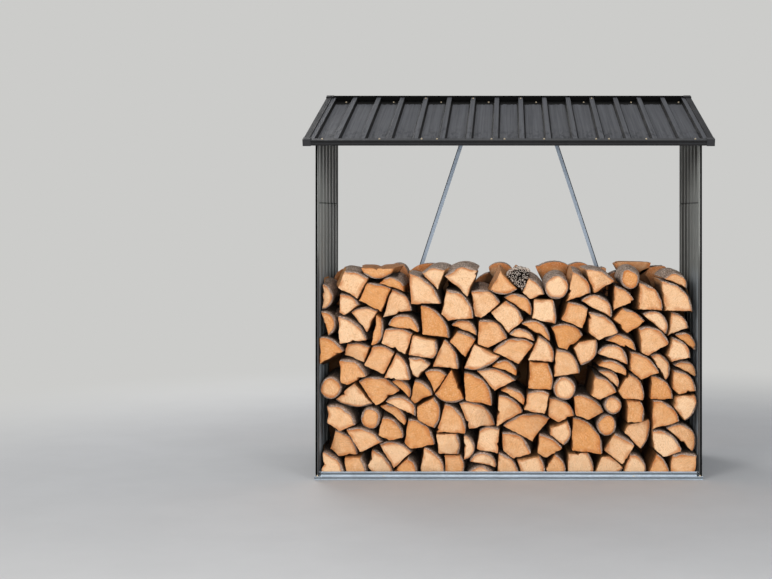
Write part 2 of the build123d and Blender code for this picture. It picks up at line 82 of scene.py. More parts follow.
class Shader:
    """Short calls for building a node material."""

    def __init__(self, name):
        self.material = bpy.data.materials.new(name)
        self.material.use_nodes = True
        self.tree = self.material.node_tree
        self.surface = self.tree.nodes["Principled BSDF"]
        coordinates = self.node("ShaderNodeTexCoord")
        self.place = coordinates.outputs["Object"]
        self.facing = coordinates.outputs["Normal"]

    def node(self, kind, **settings):
        made = self.tree.nodes.new(kind)
        for key, value in settings.items():
            setattr(made, key, value)
        return made

    def feed(self, socket, value):
        if isinstance(value, bpy.types.NodeSocket):
            self.tree.links.new(value, socket)
        else:
            socket.default_value = value[:3] if socket.type == "VECTOR" else value

    def set(self, name, value):
        self.feed(self.surface.inputs[name], value)

    def calc(self, operation, a, b=0.0):
        made = self.node("ShaderNodeMath", operation=operation)
        self.feed(made.inputs[0], a)
        self.feed(made.inputs[1], b)
        return made.outputs[0]

    def plus(self, a, b):
        return self.calc("ADD", a, b)

    def minus(self, a, b):
        return self.calc("SUBTRACT", a, b)

    def times(self, a, b):
        return self.calc("MULTIPLY", a, b)

    def size(self, a):
        return self.calc("ABSOLUTE", a)

    def split(self, vector):
        made = self.node("ShaderNodeSeparateXYZ")
        self.feed(made.inputs[0], vector)
        return made.outputs

    def stretch(self, scale, vector=None):
        made = self.node("ShaderNodeMapping")
        self.feed(made.inputs["Vector"], vector or self.place)
        self.feed(made.inputs["Scale"], scale)
        return made.outputs[0]

    def shifted(self, vector, offset):
        made = self.node("ShaderNodeVectorMath", operation="ADD")
        self.feed(made.inputs[0], vector)
        self.feed(made.inputs[1], offset)
        return made.outputs[0]

    def scaled(self, vector, factor):
        made = self.node("ShaderNodeVectorMath", operation="SCALE")
        self.feed(made.inputs[0], vector)
        self.feed(made.inputs["Scale"], factor)
        return made.outputs[0]

    def noise(self, vector, scale=1.0, detail=3.0, rough=0.55, warp=0.0):
        made = self.node("ShaderNodeTexNoise")
        self.feed(made.inputs["Vector"], vector)
        for name, value in (("Scale", scale), ("Detail", detail), ("Roughness", rough), ("Distortion", warp)):
            self.feed(made.inputs[name], value)
        return made.outputs["Fac"]

    def cells(self, vector, scale, feature="F1", output="Distance"):
        made = self.node("ShaderNodeTexVoronoi", feature=feature)
        self.feed(made.inputs["Vector"], vector)
        self.feed(made.inputs["Scale"], scale)
        return made.outputs[output]

    def spread(self, value, low, high, to_low=0.0, to_high=1.0, smooth=True):
        """Carries the range from low to high over to another, and holds its ends beyond."""
        made = self.node("ShaderNodeMapRange", interpolation_type="SMOOTHSTEP" if smooth else "LINEAR")
        ends = ("From Min", low), ("From Max", high), ("To Min", to_low), ("To Max", to_high)
        for name, v in (("Value", value), *ends):
            self.feed(made.inputs[name], v)
        return made.outputs["Result"]

    def vary(self, noise, low, high):
        """Noise carried over to the range from low to high."""
        return self.spread(noise, 0.3, 0.7, low, high)

    def positive(self, value):
        """1 where a value is over zero, else 0, with a soft step."""
        return self.spread(value, -0.1, 0.1)

    def mix(self, share, a, b):
        made = self.node("ShaderNodeMix", data_type="RGBA")
        self.feed(made.inputs["Factor"], share)
        self.feed(made.inputs["A"], a)
        self.feed(made.inputs["B"], b)
        return next(o for o in made.outputs if o.type == "RGBA")

    def bump(self, height, distance, strength):
        made = self.node("ShaderNodeBump")
        self.feed(made.inputs["Height"], height)
        self.feed(made.inputs["Distance"], distance)
        self.feed(made.inputs["Strength"], strength)
        return made.outputs[0]

    def attribute(self, name, output="Vector"):
        return self.node("ShaderNodeAttribute", attribute_name=name).outputs[output]


def painted(s, top_colour, side_colour, streak=0.06, gloss=0.18):
    """Coated sheet steel. What faces up takes top_colour and the rest side_colour; where a caller gives a
    darker side colour, that is painted shade on the sides. Faint streaks run down the slope.
    """
    streaks = s.noise(s.stretch((85, 0.9, 2.0)), 1.0, 3, 0.7)
    patches = s.noise(s.place, 5, 3, 0.6)
    grain = s.noise(s.place, 900, 2, 0.5)
    up = s.spread(s.split(s.facing)[2], 0.45, 0.85)
    tone = s.plus(s.vary(streaks, 1 - streak, 1 + streak), s.vary(patches, -0.04, 0.04))
    tone = s.plus(tone, s.vary(grain, -0.05, 0.05))
    s.set("Base Color", s.scaled(s.mix(up, side_colour, top_colour), tone))
    s.set("Roughness", s.vary(patches, 0.48, 0.60))
    s.set("Normal", s.bump(grain, 0.0002, 0.3))
    s.set("Specular IOR Level", gloss)
    return s.material


def roof_paint():
    """Pale pans with smudges near the eaves; rib flanks painted dark as painted shade, and a ragged black
    band of painted shadow on the pans at the rear.
    """
    s = Shader("roof_paint")
    place, facing = s.split(s.place), s.split(s.facing)
    # Painted shadow: a ragged black band on the pans along the rear trim.
    over_pans = s.minus(s.minus(place[2], EAVES), s.times(s.plus(place[1], -PAN_START), math.tan(PITCH)))
    on_pan = s.spread(over_pans, 0.010, 0.006)
    ragged = s.spread(s.noise(s.stretch((75, 2, 2)), 1, 3, 0.65), 0.3, 0.7, -0.013, 0.013, smooth=False)
    band = s.times(s.spread(s.plus(place[1], ragged), SHADOW_BAND_START, SHADOW_BAND_START + 0.005), on_pan)
    smudge = s.times(s.spread(s.noise(s.stretch((62, 14, 14)), 1, 3), 0.47, 0.64),
                     s.spread(place[1], -0.10, -0.32))
    top = s.mix(s.times(smudge, 0.5), PAN_GREY, linear(44, 45, 48))
    # Painted shade: the rib flanks are painted dark, blackest towards the rear.
    flank = s.mix(s.spread(place[1], 0.30, -0.40), linear(9, 9, 9), linear(32, 32, 34))
    top = s.mix(s.spread(s.size(facing[0]), 0.2, 0.5), top, flank)
    # The painted shadow at the rear is laid over the pans here.
    top = s.mix(band, top, linear(10, 10, 10))
    below = s.spread(facing[2], -0.3, -0.6)
    return painted(s, top, s.mix(below, flank, linear(112, 114, 111)), streak=0.22, gloss=0.05)


def side_trim():
    """Trims at the roof's ends: a bead darker than the sheet, black on its inner flank as painted shadow, and
    sides in a darker colour as painted shade.
    """
    s = Shader("side_trim")
    x = s.split(s.place)[0]
    outward = s.times(s.split(s.facing)[0], s.calc("SIGN", x))
    # Painted shadow: the bead's inner flank is painted black; the trim's sides get a darker colour as painted
    # shade.
    inner_flank_shadow = s.spread(outward, -0.3, -0.6)
    black = linear(7, 7, 7)
    top = s.mix(s.spread(s.size(x), TRIM_BEAD, TRIM_BEAD + 0.001), PAN_GREY, linear(60, 60, 62))
    side = linear(38, 38, 39)
    return painted(s, s.mix(inner_flank_shadow, top, black), s.mix(inner_flank_shadow, side, black), gloss=0.05)


def post_paint():
    """Posts: the outer fold is black. The sheet beside it is painted paler, most so in front at mid height,
    as painted light; low in front and on the left rear post it is painted darker, as painted shade.
    """
    s = Shader("post_paint")
    x, y, z = s.split(s.place)
    outer = s.spread(s.size(x), POST_FOLD, POST_FOLD + 0.0006)
    # Painted light: paler in front at mid height. Painted shade: darker low in front.
    mid_height_light = s.times(s.spread(z, LIT_FOOT, 1.16), s.spread(z, LIT_HEAD, 1.44))
    front = s.mix(s.spread(z, 0.96, 1.08), linear(92, 94, 95), SHEET_GREY)
    front = s.mix(mid_height_light, front, linear(146, 148, 144))
    # Painted shade: the left rear post is darker than the right.
    rear = s.mix(s.positive(x), linear(66, 67, 66), SHEET_GREY)
    colour = s.mix(outer, s.mix(s.positive(y), front, rear), linear(3, 3, 3))
    outer_side = s.times(s.spread(s.size(s.split(s.facing)[0]), 0.6, 0.9), outer)
    colour = s.mix(outer_side, colour, linear(36, 36, 38))
    return painted(s, colour, colour, gloss=0.03)


def wall_paint():
    """Walls, dark outside. Inside, the rib flanks are painted paler than the pans as painted reflection, and
    the right wall darker as painted shade; in front at mid height the sheet is painted paler and evener as
    painted light, and below that slate grey, painted light that offsets the shade beside the logs; a dark
    line runs under the lap."""
    s = Shader("wall_paint")
    x, y, z = s.split(s.place)
    facing = s.split(s.facing)
    outward = s.times(facing[0], s.calc("SIGN", x))
    # Painted reflection: the rib flanks are painted paler than the pans; the right wall is darker than the
    # left as painted shade.
    flank = s.spread(s.size(facing[1]), 0.2, 0.55)
    right = s.positive(x)
    inside = s.mix(flank, s.mix(right, linear(104, 105, 103), linear(73, 73, 71)),
                   s.mix(right, linear(166, 167, 164), linear(138, 139, 136)))
    # Painted light: paler and evener in front at mid height.
    lit = s.mix(right, s.mix(flank, linear(158, 160, 156), linear(150, 152, 148)),
                s.mix(flank, linear(136, 138, 135), linear(128, 130, 127)))
    inside = s.mix(s.times(s.spread(y, 0.22, -0.24), s.spread(z, LIT_HEAD, 1.34)), inside, lit)
    # Painted light: low in front the sheet is slate grey, bright enough to offset the shade beside the logs.
    slate = s.mix(flank, linear(150, 156, 160), linear(132, 138, 142))
    inside = s.mix(s.times(s.spread(y, 0.05, -0.15), s.spread(z, LIT_FOOT, 0.94)), inside, slate)
    inside = s.scaled(inside, s.spread(s.size(s.minus(z, WALL_LAP)), 0.002, 0.005, 0.4, 1.0))
    colour = s.mix(s.positive(outward), inside, linear(80, 81, 85))
    return painted(s, colour, colour, gloss=0.0)


def cap_plastic():
    """Corner caps, paler on top as painted light, and darker at the rear."""
    s = Shader("cap_plastic")
    grain = s.noise(s.place, 1400, 2, 0.5)
    # Painted light: the tops are painted paler than the sides.
    colour = s.mix(s.spread(s.split(s.facing)[2], 0.3, 0.6), linear(50, 50, 52), linear(68, 68, 71))
    colour = s.scaled(colour, s.spread(s.split(s.place)[1], -0.1, 0.1, 1.0, 0.3))
    s.set("Base Color", s.scaled(colour, s.vary(grain, 0.92, 1.08)))
    s.set("Roughness", 0.55)
    s.set("Normal", s.bump(grain, 0.0003, 0.5))
    s.set("Specular IOR Level", 0.12)
    return s.material


def zinc(name, metallic, roughness, tones):
    """A shader for galvanised sheet with a faint flake, and the flake's tone."""
    s = Shader(name)
    flake = s.split(s.cells(s.place, 85, output="Color"))[0]
    s.set("Metallic", metallic)
    s.set("Roughness", s.spread(flake, 0, 1, *roughness, smooth=False))
    return s, s.spread(flake, 0, 1, *tones, smooth=False)


def rail_steel():
    """Base rails, darker underneath as painted shade, with painted shadow lines beside their bead and a
    painted highlight on it.
    """
    s, tone = zinc("galvanised", 0.45, (0.32, 0.46), (0.92, 1.06))
    tone = s.plus(tone, s.vary(s.noise(s.stretch((9, 9, 9)), 1, 3), -0.06, 0.06))
    # Painted shade: faces that look down are darker.
    tone = s.times(tone, s.spread(s.split(s.facing)[2], -0.6, 0.3, 0.62, 1.0))
    z = s.split(s.place)[2]
    # Painted shadow lines beside the bead and a painted highlight on it.
    for bottom, top, brightness in RAIL_LIGHT_BANDS:
        off = s.size(s.minus(z, (bottom + top) / 2))
        half = (top - bottom) / 2
        tone = s.times(tone, s.spread(off, half - 0.001, half + 0.001, brightness, 1.0))
    s.set("Base Color", s.scaled(linear(172, 184, 195), tone))
    return s.material


def brace_steel():
    """Braces, duller than the rails, and dark along their outer fold as painted shadow."""
    s, tone = zinc("brace_steel", 0.3, (0.40, 0.52), (0.90, 1.08))
    place = s.split(s.place)
    across = s.plus(s.times(s.size(place[0]), BRACE_RUN[1]), s.times(place[2], BRACE_RUN[0]))
    across = s.minus(across, BRACE_FOOT[0] * BRACE_RUN[1] + BRACE_FOOT[1] * BRACE_RUN[0])
    tone = s.times(tone, s.spread(place[2], 0.95, 1.75, 0.88, 0.96, smooth=False))
    # Painted shadow: dark beyond the outer fold.
    tone = s.times(tone, s.spread(across, BRACE_FOLD, BRACE_FOLD + 0.0008, 1.0, 0.10))
    s.set("Base Color", s.scaled(linear(148, 160, 174), tone))
    s.set("Specular IOR Level", 0.2)
    return s.material


def screw_steel():
    s = Shader("screw_steel")
    s.set("Base Color", linear(205, 190, 165))
    s.set("Metallic", 0.6)
    s.set("Roughness", s.vary(s.noise(s.place, 700, 2), 0.3, 0.5))
    return s.material


def wooden(s, colour, tone, height, depth, strength, roughness=0.85, gloss=0.15):
    """Dull surface in a colour times a tone, with fine relief."""
    s.set("Base Color", s.scaled(colour, tone))
    s.set("Roughness", roughness)
    s.set("Specular IOR Level", gloss)
    s.set("Normal", s.bump(height, depth, strength))
    return s.material


def end_grain():
    """Sawn end of a log. "grain" is the place measured from the pith, "log" holds the log's tone, seed
    and wood radius, and "rim" grows from 0 at the edge of the face towards its middle."""
    s = Shader("end_grain")
    where = s.attribute("grain")
    grain = s.split(where)
    log_tone, seed, wood_radius = s.split(s.attribute("log"))
    radius = s.calc("SQRT", s.plus(s.times(grain[0], grain[0]), s.times(grain[1], grain[1])))

    # The patterns are turned and moved by each log's seed.
    turn = s.node("ShaderNodeVectorRotate", rotation_type="Z_AXIS")
    s.feed(turn.inputs["Vector"], where)
    s.feed(turn.inputs["Angle"], s.times(seed, 12.0))
    offset = s.node("ShaderNodeCombineXYZ")
    s.feed(offset.inputs[2], s.times(seed, 9.0))
    place = s.shifted(turn.outputs[0], offset.outputs[0])
    cloud = s.noise(place, 22, 3, 0.6)
    broad = s.noise(place, 16, 2, 0.5)
    mottle = s.noise(place, 150, 3, 0.65)
    speckle = s.noise(place, 520, 3, 0.7)
    saw = s.noise(s.stretch((26, 380, 26), place), 1, 2, 0.5)
    rings = s.calc("SINE", s.plus(s.times(radius, 1500.0), s.times(cloud, 9.0)))

    # Pale wood, browner under the bark and along parts of the edge.
    pale = s.spread(s.plus(log_tone, s.times(cloud, 0.8)), 0.30, 1.5)
    colour = s.mix(pale, linear(245, 205, 163), linear(221, 154, 92))
    depth = s.plus(s.minus(wood_radius, radius), s.vary(cloud, -0.004, 0.004))
    colour = s.mix(s.spread(depth, 0.016, 0.001, 0, 0.60), colour, linear(186, 106, 50))
    edge = s.plus(s.attribute("rim", "Fac"), s.vary(mottle, -0.09, 0.09))
    reach = s.spread(broad, 0.35, 0.68, 0.02, 0.42)
    rim = s.times(s.spread(s.calc("DIVIDE", edge, reach), 1.0, 0.1), s.spread(broad, 0.40, 0.62, 0.25, 0.72))
    colour = s.mix(rim, colour, linear(190, 112, 54))

    # Dark and pale mottles, coarser on some logs, and a few pits.
    coarse = s.spread(s.calc("FRACT", s.times(seed, 7.0)), 0, 1, 0.55, 1.0, smooth=False)
    colour = s.mix(s.times(s.spread(mottle, 0.53, 0.70, 0, 0.52), coarse), colour, linear(182, 108, 58))
    colour = s.mix(s.times(s.spread(mottle, 0.47, 0.32, 0, 0.52), coarse), colour, linear(248, 214, 178))
    pits = s.times(s.spread(s.cells(place, 85), 0.20, 0.10, 0, 0.55),
                   s.spread(s.noise(place, 33, 1, 0.5), 0.52, 0.66))
    colour = s.mix(pits, colour, linear(126, 70, 34))

    tone = s.plus(s.times(rings, 0.025), s.vary(speckle, 0.80, 1.14))
    tone = s.plus(tone, s.vary(saw, -0.07, 0.06))
    tone = s.times(tone, s.attribute("shade", "Fac"))
    return wooden(s, colour, tone, s.plus(s.times(speckle, 0.6), saw), 0.0015, 0.8)


def split_face():
    """Split side of a log, with fibres along it."""
    s = Shader("split_face")
    log_tone = s.split(s.attribute("log"))[0]
    fibres = s.noise(s.stretch((150, 5, 150)), 1, 5, 0.65, 0.4)
    strands = s.noise(s.stretch((420, 14, 420)), 1, 3, 0.6)
    cloud = s.noise(s.place, 14, 3, 0.6)
    colour = s.mix(s.spread(s.plus(log_tone, cloud), 0.3, 1.6), linear(226, 172, 118), linear(196, 130, 76))
    colour = s.mix(s.spread(fibres, 0.52, 0.36, 0, 0.55), colour, linear(146, 86, 44))
    tone = s.times(s.vary(strands, 0.84, 1.12), s.attribute("shade", "Fac"))
    return wooden(s, colour, tone, s.plus(fibres, s.times(strands, 0.35)), 0.004, 0.8)


def bark():
    """Grey-brown bark, in plates with furrows along the log, and its cut edge."""
    s = Shader("bark")
    warped = s.shifted(s.stretch((1, 0.36, 1)), s.scaled(s.noise(s.place, 60, 3, 0.6), 0.006))
    plate = s.spread(s.cells(warped, 95, "DISTANCE_TO_EDGE"), 0.02, 0.24)
    crust = s.noise(s.place, 260, 4, 0.7)
    cloud = s.noise(s.place, 26, 3, 0.6)
    colour = s.mix(s.spread(cloud, 0.35, 0.65), linear(226, 200, 180), linear(182, 150, 126))
    colour = s.mix(s.spread(crust, 0.42, 0.70, 0, 0.6), colour, linear(240, 228, 218))
    colour = s.mix(s.spread(plate, 0.0, 0.8, 0.55, 0), colour, linear(100, 76, 60))
    cut = s.spread(s.size(s.split(s.facing)[1]), 0.35, 0.85, 0, 0.7)
    colour = s.mix(cut, colour, s.mix(crust, linear(150, 116, 94), linear(224, 202, 186)))
    relief = s.plus(s.times(plate, 0.7), s.times(crust, 0.6))
    return wooden(s, colour, s.attribute("shade", "Fac"), relief, 0.006, 0.9, 0.92)


def burl():
    """Knotted beige growth. "rim" is 1 on the lips of its curls and 0 in the hollows; the lips are painted
    pale as painted highlight, and the hollows and the log's body nearly black as painted shade.
    """
    s = Shader("burl")
    warped = s.shifted(s.place, s.scaled(s.noise(s.place, 70, 3, 0.6), 0.022))
    crust = s.noise(warped, 190, 4, 0.7)
    height = s.attribute("rim", "Fac")
    colour = s.mix(s.spread(crust, 0.35, 0.65), linear(146, 124, 110), linear(200, 180, 166))
    colour = s.mix(s.spread(height, 0.60, 1.0, 0, 0.85), colour, linear(244, 232, 218))
    colour = s.mix(s.spread(height, 0.60, 0.15, 0, 0.98), colour, linear(14, 10, 6))
    return wooden(s, colour, s.attribute("shade", "Fac"), crust, 0.003, 0.9, 0.95, 0.1)


slot_materials = {
    "roof_paint": roof_paint(),
    # The trims' sides are painted much darker than their tops, and the black paint's sides a little darker:
    # painted shade.
    "trim_paint": painted(Shader("trim_paint"), linear(64, 65, 68), linear(29, 29, 30)),
    "black_paint": painted(Shader("black_paint"), linear(10, 10, 10), linear(6, 6, 6), gloss=0.06),
    "wall_paint": wall_paint(),
    "corner_cap": cap_plastic(),
    "galvanised": rail_steel(),
}
side_trim_material = side_trim()
post_material = post_paint()
brace_material = brace_steel()
screw_material = screw_steel()


def material_of(name, slot):
    """Material of a node that keeps its solids."""
    if name in ("roof_trim_left", "roof_trim_right"):
        return side_trim_material
    if name.startswith(("post_", "wall_top_rail")):
        return post_material
    if name.startswith("brace"):
        return brace_material
    return slot_materials[slot]


node_slot = {s["node"]: s["material_slot"] for s in frame["record"]["subparts"]}
for name, obj in nodes.items():
    if node_slot[name] in slot_materials:
        obj.data.materials.clear()
        obj.data.materials.append(material_of(name, node_slot[name]))


# Logs

END, SPLIT, BARK, BURL = range(4)
log_materials = [end_grain(), split_face(), bark(), burl()]

SAMPLE = 0.006                  # spacing of the points round a log
STATIONS = (0.0, 0.03, 0.09, 0.20, 0.34, 0.50, 0.68, 0.86, 1.0)    # rings along it, as shares of its length
CORNER = 0.45                   # turn from which two edges make a corner, in radians
ARC_EDGE = 0.03                 # longest straight edge within an arc
BARK_DEPTH = 0.0062             # thickness of the bark at the sawn end
BARK_SLANT = 0.0045             # how far it is broken back there
MOST_WEAR = 0.006               # how far a side may lie within its plain prism, without notch and taper
FACET_DEPTH = 0.016             # depth of a second facet of the sawn face
KNOT_DEPTH = 0.011              # how far the knotted log lies within its prism, for its shoots
ANY_ANGLE = 6.28                # random angles are drawn from 0 to this
CIRCLE = 6.2832
SKY_STEP = 0.005                # width of a slot in the outline of the stack's top
SKY_SLOTS = 400
KNOT_X = 0.054                  # where the knotted log lies, in the front row near the top
KNOT_LEVEL = 0.93
FIRST_SEED = 100


def outlines(obj):
    """The prisms of one layer node: (outline as an (n, 2) array of x and z, front y, back y) each."""
    nearly = 1e-5
    bm = bmesh.new()
    bm.from_mesh(obj.data)
    bmesh.ops.remove_doubles(bm, verts=bm.verts, dist=nearly)
    found, seen = [], set()
    for start in bm.verts:
        if start in seen:
            continue
        group, todo = set(), [start]
        while todo:
            v = todo.pop()
            if v not in group:
                group.add(v)
                todo += [e.other_vert(v) for e in v.link_edges]
        seen |= group
        low, high = min(v.co.y for v in group), max(v.co.y for v in group)
        cap = {f for v in group for f in v.link_faces if all(abs(u.co.y - low) < nearly for u in f.verts)}
        after = {}
        for f in cap:
            for loop in f.loops:
                if sum(g in cap for g in loop.edge.link_faces) == 1:
                    after[loop.vert] = loop.link_loop_next.vert

        # The outline starts at its left, so that each run of the script draws the same logs.
        first = v = min(after, key=lambda u: (round(u.co.x, 4), u.co.z))
        ring = []
        while True:
            ring.append((v.co.x, v.co.z))
            v = after[v]
            if v is first:
                break
        found.append((np.array(ring), low, high))
    bm.free()
    return found


def area(ring):
    x, z = ring[:, 0], ring[:, 1]
    return 0.5 * float(np.sum(x * np.roll(z, -1) - np.roll(x, -1) * z))


def circle(a, b, c):
    """Centre and radius of the circle through three points."""
    m = 2 * np.array([b - a, c - a])
    centre = np.linalg.solve(m, [b @ b - a @ a, c @ c - a @ a])
    return centre, float(np.linalg.norm(a - centre))


def resampled(ring):
    """Evenly spaced outline, with a flag for each point whose next edge is bark, and the pith and the
    bark's radius, from the longest arc."""
    n = len(ring)
    step = np.roll(ring, -1, 0) - ring
    length = np.linalg.norm(step, axis=1)
    heading = np.arctan2(step[:, 1], step[:, 0])
    turn = np.abs((heading - np.roll(heading, 1) + math.pi) % (2 * math.pi) - math.pi)
    joined = [turn[i] < CORNER and length[i] < ARC_EDGE and length[i - 1] < ARC_EDGE for i in range(n)]
    starts = [i for i in range(n) if not joined[i]] or [0]
    points, kinds, arcs = [], [], []
    for k, i in enumerate(starts):
        stop = starts[(k + 1) % len(starts)]
        count = (stop - i) % n or n
        chain = [ring[(i + j) % n] for j in range(count + 1)]
        run = sum(length[(i + j) % n] for j in range(count))
        parts = max(2, round(run / SAMPLE))
        if count > 2:
            third = chain[-1] if len(starts) > 1 else chain[count * 3 // 4]
            arcs.append((run, *circle(chain[0], chain[count // 2], third)))
        edges = [np.linalg.norm(chain[j + 1] - chain[j]) for j in range(count)]
        along = np.concatenate([[0], np.cumsum(edges)])
        at = np.arange(parts) / parts * along[-1]
        x, z = (np.interp(at, along, [p[axis] for p in chain]) for axis in (0, 1))
        points += list(zip(x, z))
        kinds += [count > 2] * parts
    run, centre, radius = max(arcs, key=lambda arc: arc[0]) if arcs else (0, ring.mean(0), 0.5)
    return np.array(points), np.array(kinds), centre, radius


def inset(ring, depth):
    """Outline moved inwards, each edge by its own depth, always towards the middle."""
    step = np.roll(ring, -1, 0) - ring
    normal = np.stack([-step[:, 1], step[:, 0]], 1) / np.maximum(np.linalg.norm(step, axis=1), 1e-9)[:, None]
    normal = normal + np.roll(normal, 1, 0)
    normal /= np.maximum(np.linalg.norm(normal, axis=1), 1e-6)[:, None]
    middle = ring.mean(0)
    out = ring - middle
    reach = np.linalg.norm(out, axis=1)
    out /= reach[:, None]
    slant = np.maximum(-(out * normal).sum(1), 0.4)
    amount = (np.roll(depth, 1) + depth) / 2 / slant
    return middle + out * np.maximum(reach - amount, reach * 0.5)[:, None]


def waves(rng, count, low, high):
    """Parameters of a smooth random pattern over the outline and along the log."""
    return [(rng.uniform(low, high), rng.uniform(-1, 1), rng.uniform(0, ANY_ANGLE)) for _ in range(count)]


def pattern(parameters, s, y, along):
    """The pattern's value at places s round the outline and y along the log."""
    total = 0
    for frequency, lean, phase in parameters:
        total = total + np.sin(CIRCLE * (s * frequency + y * lean * along) + phase)
    return total / math.sqrt(len(parameters) / 2)


def inside(ring, p):
    """Whether a point lies within an outline."""
    a, b = ring, np.roll(ring, -1, 0)
    across = (a[:, 1] > p[1]) != (b[:, 1] > p[1])
    at = a[:, 0] + (p[1] - a[:, 1]) / np.where(across, b[:, 1] - a[:, 1], 1) * (b[:, 0] - a[:, 0])
    return int(np.sum(across & (at > p[0]))) % 2 == 1


def scatter(rng, reach):
    """A small random offset in x and z."""
    return np.array((rng.uniform(-reach, reach), rng.uniform(-reach, reach)))


def shoot_stands(ring, is_bark, start, way, rng):
    """Foot and direction of each shoot on the end of the knotted log and on the front of its bark."""
    low, high = ring.min(0), ring.max(0)
    middle = ring.mean(0)
    reach = np.linalg.norm(ring - middle, axis=1)
    bearing = np.arctan2(ring[:, 1] - middle[1], ring[:, 0] - middle[0])
    placed, stands = [], []
    for _ in range(2500):
        p = np.array((rng.uniform(low[0], high[0]), rng.uniform(low[1], high[1])))
        if inside(ring, p) and all(np.linalg.norm(p - q) > 0.0118 for q in placed):
            placed.append(p)
    for p in placed:
        out = p - middle
        off = (bearing - math.atan2(out[1], out[0]) + math.pi) % (2 * math.pi) - math.pi
        near = np.argmin(np.abs(off))
        share = min(1.0, float(np.linalg.norm(out)) / reach[near])
        lean = out / reach[near] * share * 1.3 + scatter(rng, 0.35)
        root = p - out * (0.10 + 0.06 * share)
        stands.append((Vector((root[0], start + way * (0.013 + 0.016 * share ** 3), root[1])),
                       Vector((lean[0], -way, lean[1]))))
    for back in (0.022, 0.034, 0.046, 0.058, 0.070, 0.084, 0.100, 0.120):
        for i in range(rng.randrange(2), len(ring), 2):
            if is_bark[i]:
                out = (ring[i] - middle) / reach[i]
                root = ring[i] - out * rng.uniform(0.011, 0.014)
                lean = out + scatter(rng, 0.3)
                stands.append((Vector((root[0], start + way * (back + rng.uniform(-0.003, 0.003)), root[1])),
                               Vector((lean[0], -way * rng.uniform(0.1, 0.7), lean[1]))))
    return stands


def curls(ring, is_bark, start, way, rng):
    """Short hollow shoots on a knotted log, leaning outwards near the edge of its end."""
    sides = 9
    verts, faces, rims = [], [], []
    for foot, axis in shoot_stands(ring, is_bark, start, way, rng):
        turn = axis.normalized().to_track_quat("Z", "Y")
        radius, length = rng.uniform(0.0058, 0.0082), rng.uniform(0.009, 0.013)
        squash, roll, slant = rng.uniform(0.6, 1.0), rng.uniform(0, ANY_ANGLE), rng.uniform(-0.4, 0.4)
        base = len(verts)

        # Radius, height and rim of the rings: up the outside, over the lip and down into the hollow. The rim
        # sets the painted highlight on the lip and the painted shade in the hollow.
        profile = (
            (radius * 0.7, -0.004, 0.1),
            (radius * 0.85, length * 0.6, 0.5),
            (radius, length, 1.0),
            (radius * 0.80, length, 0.8),
            (radius * 0.70, length * 0.85, 0.05),
            (radius * 0.5, 0.0, 0.0),
        )
        for r, h, rim in profile:
            for a in range(sides):
                angle = a * CIRCLE / sides
                x, y = r * math.cos(angle), r * squash * math.sin(angle)
                verts.append((foot + turn @ Vector((x * math.cos(roll) - y * math.sin(roll),
                                                    x * math.sin(roll) + y * math.cos(roll),
                                                    h * (1 + slant * math.cos(angle) * (h > 0)))))[:])
                rims.append(rim)
        for k in range(base, base + sides * (len(profile) - 1), sides):
            for a in range(sides):
                b = (a + 1) % sides
                faces.append([k + a, k + b, k + sides + b, k + sides + a])
        faces.append([base + sides * (len(profile) - 1) + a for a in range(sides)])
    verts = np.array(verts)
    verts[:, 1] = start + way * np.maximum((verts[:, 1] - start) * way, 0.0005)
    return verts, faces, np.array(rims)


def worn(ring, s, bark_at, rng):
    """Depths of a notch along one split side, of small breaks at the end, and of an uneven taper."""
    n = len(ring)
    notch = np.zeros(n)
    split_points = [i for i in range(n) if not bark_at[i]]
    if split_points and rng.random() < 0.35:
        at = s[rng.choice(split_points)]
        deepest = rng.uniform(0.005, 0.013)
        width = rng.uniform(0.007, 0.014)
        notch = deepest * np.exp(-((s - at) / width) ** 2) * (1 - bark_at)
    ragged = rng.uniform(0.3, 1.0)
    jag = np.array([abs(rng.gauss(0, 0.0011)) * ragged for _ in range(n)]) * (1 - 0.6 * bark_at)
    middle = ring.mean(0)
    around = np.arctan2(ring[:, 1] - middle[1], ring[:, 0] - middle[0])
    taper = rng.uniform(0.0, 0.007) * (0.5 + 0.5 * np.cos(around - rng.uniform(0, ANY_ANGLE)))
    return notch, jag, taper


def saw_cut(ring, rng):
    """Depth of the sawn face: a slightly tilted plane, on some logs with a second facet."""
    middle = ring.mean(0)
    tilt = scatter(rng, 0.06)
    facet_way = rng.uniform(0, ANY_ANGLE)
    facet = np.array((math.cos(facet_way), math.sin(facet_way)))
    facet_at, facet_slope = rng.uniform(-0.008, 0.02), rng.choice((0, 0, 0, 0.18, 0.28, 0.40))
    lowest = ((ring - middle) @ tilt).min()

    def cut(points):
        beyond = np.maximum(0, (points - middle) @ facet - facet_at)
        return (points - middle) @ tilt - lowest + np.minimum(beyond * facet_slope, FACET_DEPTH)

    return cut


